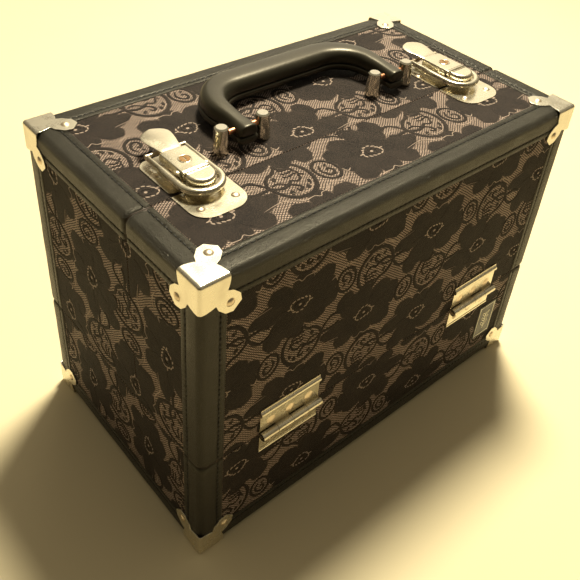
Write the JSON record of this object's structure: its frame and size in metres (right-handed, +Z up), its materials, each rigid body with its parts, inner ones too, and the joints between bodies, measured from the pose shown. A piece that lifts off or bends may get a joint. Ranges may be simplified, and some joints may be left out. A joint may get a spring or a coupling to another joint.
{
  "type": "makeup train case",
  "caption": "Hard-sided makeup train case sawn into a base and two outward-opening lids, with tiered trays on linked arms, folding handle and key draw latches.",
  "frame": {"origin": "centre of the case's footprint, on the surface that the bottom caps stand on", "axes": "+Z up, X along the case, -Y towards the front lid with the badge"},
  "size_m": [0.3744, 0.2288, 0.2944],
  "materials": {
    "lace_fabric": "black lace over taupe cloth",
    "leather": "black grained leatherette, stitched",
    "lining": "black flocked lining",
    "plywood": "plywood, cut edges",
    "tray_plastic": "moulded satin black",
    "handle_plastic": "moulded satin black",
    "copper": "copper plated",
    "brass": "turned brass",
    "badge_metal": "dark enamelled metal",
    "rivet_steel": "plated, dome heads",
    "arm_steel": "zinc plated strip",
    "post_chrome": "bright chrome",
    "chrome": "bright chrome, lightly worn"
  },
  "bodies": {
    "base": {"arm_pivot_rivets": "rivet_steel", "badge_plate": "badge_metal", "base_bin": "plywood", "base_fabric_cover": "lace_fabric", "base_hinge_rivets": "rivet_steel", "base_leather_bands": "leather", "base_lining": "lining", "bottom_cap_rivets": "rivet_steel", "bottom_corner_caps": "chrome", "front_hinge_lower_leaves": "chrome", "hinge_pins": "rivet_steel", "rear_hinge_lower_leaves": "chrome"},
    "front_lid": {"front_cap_rivets": "rivet_steel", "front_corner_caps": "chrome", "front_fabric_cover": "lace_fabric", "front_hinge_upper_leaves": "chrome", "front_leather_bands": "leather", "front_lid_guides": "arm_steel", "front_lid_hinge_rivets": "rivet_steel", "front_lining": "lining", "front_shell": "plywood", "keeper_rivets": "rivet_steel", "latch_keeper_plates": "chrome"},
    "front_outer_links": {"front_guide_rollers": "arm_steel", "front_outer_arms": "arm_steel"},
    "front_inner_links": {"front_inner_arms": "arm_steel"},
    "front_tray_low": {"front_tray_low": "tray_plastic"},
    "front_tray_middle": {"front_tray_middle": "tray_plastic"},
    "front_tray_top": {"front_tray_top": "tray_plastic"},
    "handle": {"handle_lower_grip": "handle_plastic", "handle_upper_grip": "handle_plastic"},
    "rear_lid": {"handle_pins": "copper", "handle_posts": "post_chrome", "latch_base_plates": "chrome", "latch_base_rivets": "rivet_steel", "lever_pins": "chrome", "rear_cap_rivets": "rivet_steel", "rear_corner_caps": "chrome", "rear_fabric_cover": "lace_fabric", "rear_hinge_upper_leaves": "chrome", "rear_leather_bands": "leather", "rear_lid_guides": "arm_steel", "rear_lid_hinge_rivets": "rivet_steel", "rear_lining": "lining", "rear_shell": "plywood"},
    "left_lever": {"left_bail_pin": "chrome", "left_latch_lever": "chrome"},
    "left_bail": {"left_latch_bail": "chrome"},
    "left_lock": {"left_lock_cylinder": "brass"},
    "rear_outer_links": {"rear_guide_rollers": "arm_steel", "rear_outer_arms": "arm_steel"},
    "rear_inner_links": {"rear_inner_arms": "arm_steel"},
    "rear_tray_low": {"rear_tray_low": "tray_plastic"},
    "rear_tray_middle": {"rear_tray_middle": "tray_plastic"},
    "rear_tray_top": {"rear_tray_top": "tray_plastic"},
    "right_lever": {"right_bail_pin": "chrome", "right_latch_lever": "chrome"},
    "right_bail": {"right_latch_bail": "chrome"},
    "right_lock": {"right_lock_cylinder": "brass"}
  },
  "joints": [
    {"name": "front_lid_hinge", "type": "hinge", "parent": "base", "child": "front_lid", "pos_m": [0, -0.111, 0.103], "axis": [1, 0, 0], "range_deg": [0, 105]},
    {"name": "front_inner_arm_pivot", "type": "hinge", "parent": "base", "child": "front_inner_links", "pos_m": [0, -0.04, 0.094], "axis": [1, 0, 0], "range_deg": [0, 53]},
    {"name": "front_outer_arm_pivot", "type": "hinge", "parent": "base", "child": "front_outer_links", "pos_m": [0, -0.08, 0.094], "axis": [1, 0, 0], "range_deg": [0, 53]},
    {"name": "front_tray_low_pivot", "type": "hinge", "parent": "front_inner_links", "child": "front_tray_low", "pos_m": [0, -0.03168, 0.13313], "axis": [1, 0, 0], "range_deg": [-53, 0]},
    {"name": "front_tray_middle_pivot", "type": "hinge", "parent": "front_inner_links", "child": "front_tray_middle", "pos_m": [0, -0.0217, 0.18008], "axis": [1, 0, 0], "range_deg": [-53, 0]},
    {"name": "front_tray_top_pivot", "type": "hinge", "parent": "front_inner_links", "child": "front_tray_top", "pos_m": [0, -0.01172, 0.22703], "axis": [1, 0, 0], "range_deg": [-53, 0]},
    {"name": "rear_lid_hinge", "type": "hinge", "parent": "base", "child": "rear_lid", "pos_m": [0, 0.111, 0.103], "axis": [-1, 0, 0], "range_deg": [0, 105]},
    {"name": "rear_inner_arm_pivot", "type": "hinge", "parent": "base", "child": "rear_inner_links", "pos_m": [0, 0.04, 0.094], "axis": [-1, 0, 0], "range_deg": [0, 53]},
    {"name": "rear_outer_arm_pivot", "type": "hinge", "parent": "base", "child": "rear_outer_links", "pos_m": [0, 0.08, 0.094], "axis": [-1, 0, 0], "range_deg": [0, 53]},
    {"name": "rear_tray_low_pivot", "type": "hinge", "parent": "rear_inner_links", "child": "rear_tray_low", "pos_m": [0, 0.03168, 0.13313], "axis": [-1, 0, 0], "range_deg": [-53, 0]},
    {"name": "rear_tray_middle_pivot", "type": "hinge", "parent": "rear_inner_links", "child": "rear_tray_middle", "pos_m": [0, 0.0217, 0.18008], "axis": [-1, 0, 0], "range_deg": [-53, 0]},
    {"name": "rear_tray_top_pivot", "type": "hinge", "parent": "rear_inner_links", "child": "rear_tray_top", "pos_m": [0, 0.01172, 0.22703], "axis": [-1, 0, 0], "range_deg": [-53, 0]},
    {"name": "handle_fold", "type": "hinge", "parent": "rear_lid", "child": "handle", "pos_m": [0, -0.002, 0.2859], "axis": [1, 0, 0], "range_deg": [0, 168]},
    {"name": "left_lever_pivot", "type": "hinge", "parent": "rear_lid", "child": "left_lever", "pos_m": [-0.1295, -0.02, 0.2808], "axis": [1, 0, 0], "range_deg": [0, 100]},
    {"name": "left_bail_pivot", "type": "hinge", "parent": "left_lever", "child": "left_bail", "pos_m": [-0.1295, 0.01, 0.2808], "axis": [1, 0, 0], "range_deg": [-100, 0]},
    {"name": "left_key_turn", "type": "hinge", "parent": "left_lever", "child": "left_lock", "pos_m": [-0.1295, -0.0124, 0.2814], "axis": [0, 0, 1], "range_deg": [0, 90]},
    {"name": "right_lever_pivot", "type": "hinge", "parent": "rear_lid", "child": "right_lever", "pos_m": [0.1295, -0.02, 0.2808], "axis": [1, 0, 0], "range_deg": [0, 100]},
    {"name": "right_bail_pivot", "type": "hinge", "parent": "right_lever", "child": "right_bail", "pos_m": [0.1295, 0.01, 0.2808], "axis": [1, 0, 0], "range_deg": [-100, 0]},
    {"name": "right_key_turn", "type": "hinge", "parent": "right_lever", "child": "right_lock", "pos_m": [0.1295, -0.0124, 0.2814], "axis": [0, 0, 1], "range_deg": [0, 90]}
  ],
  "couplings": [
    {"joint": "front_inner_arm_pivot", "follows": "front_lid_hinge", "ratio": 0.5},
    {"joint": "front_outer_arm_pivot", "follows": "front_lid_hinge", "ratio": 0.5},
    {"joint": "front_tray_low_pivot", "follows": "front_lid_hinge", "ratio": -0.5},
    {"joint": "front_tray_middle_pivot", "follows": "front_lid_hinge", "ratio": -0.5},
    {"joint": "front_tray_top_pivot", "follows": "front_lid_hinge", "ratio": -0.5},
    {"joint": "rear_inner_arm_pivot", "follows": "rear_lid_hinge", "ratio": 0.5},
    {"joint": "rear_outer_arm_pivot", "follows": "rear_lid_hinge", "ratio": 0.5},
    {"joint": "rear_tray_low_pivot", "follows": "rear_lid_hinge", "ratio": -0.5},
    {"joint": "rear_tray_middle_pivot", "follows": "rear_lid_hinge", "ratio": -0.5},
    {"joint": "rear_tray_top_pivot", "follows": "rear_lid_hinge", "ratio": -0.5},
    {"joint": "left_bail_pivot", "follows": "left_lever_pivot", "ratio": -1},
    {"joint": "right_bail_pivot", "follows": "right_lever_pivot", "ratio": -1}
  ]
}
